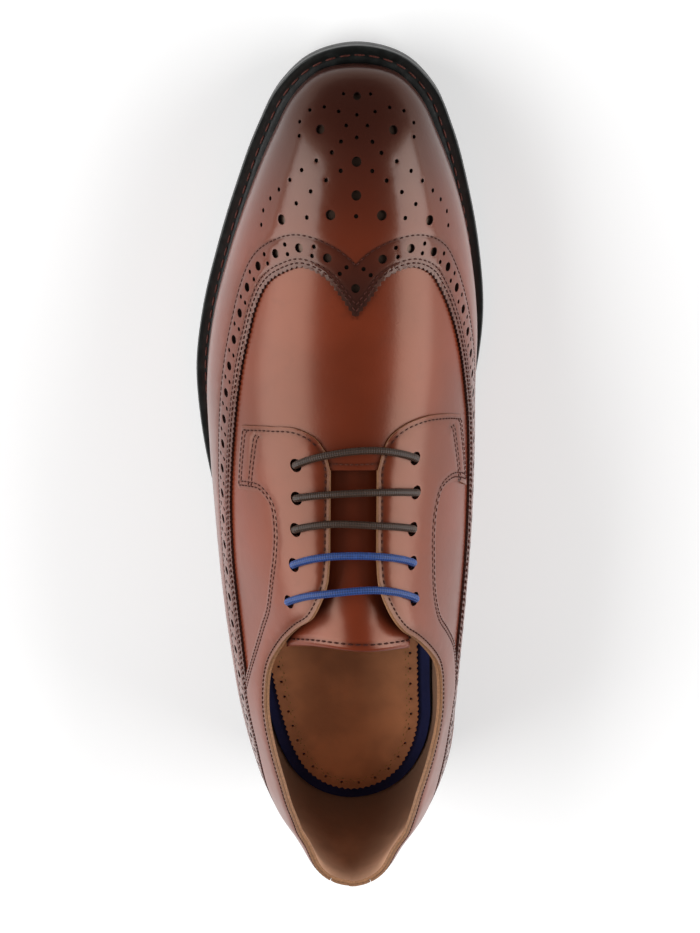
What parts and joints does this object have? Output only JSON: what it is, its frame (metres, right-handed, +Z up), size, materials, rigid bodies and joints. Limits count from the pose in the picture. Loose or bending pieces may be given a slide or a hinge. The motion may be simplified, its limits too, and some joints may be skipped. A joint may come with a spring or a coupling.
{
  "type": "brogue shoe",
  "caption": "Left lace-up brogue with long wings, open lacing, flat welt and stacked heel, hollow inside to take a foot.",
  "frame": {"origin": "middle of the footprint's bounding box, on the floor", "axes": "+Y from the heel to the toe, +Z up, +X to the inner (medial) side"},
  "size_m": [0.1048, 0.3059, 0.1007],
  "materials": {
    "leather": "polished reddish brown calf",
    "leather_dark": "the same calf, burnished darker",
    "welt": "black waxed edge",
    "outsole": "black waxed leather",
    "heel": "black stacked leather",
    "insole": "navy matt lining",
    "pad": "tan brown matt leather",
    "lace_brown": "olive brown waxed cotton",
    "lace_blue": "royal blue waxed cotton"
  },
  "bodies": {
    "root": {"outsole": "outsole", "heel_block": "heel", "top_lift": "outsole", "welt": "welt", "insole": "insole", "heel_pad": "pad", "upper": "leather", "wing_cap": "leather_dark", "heel_tab": "leather", "eyestay_lateral": "leather", "eyestay_medial": "leather", "tongue": "leather", "lace_front": "lace_brown", "lace_rear": "lace_blue"}
  },
  "joints": []
}
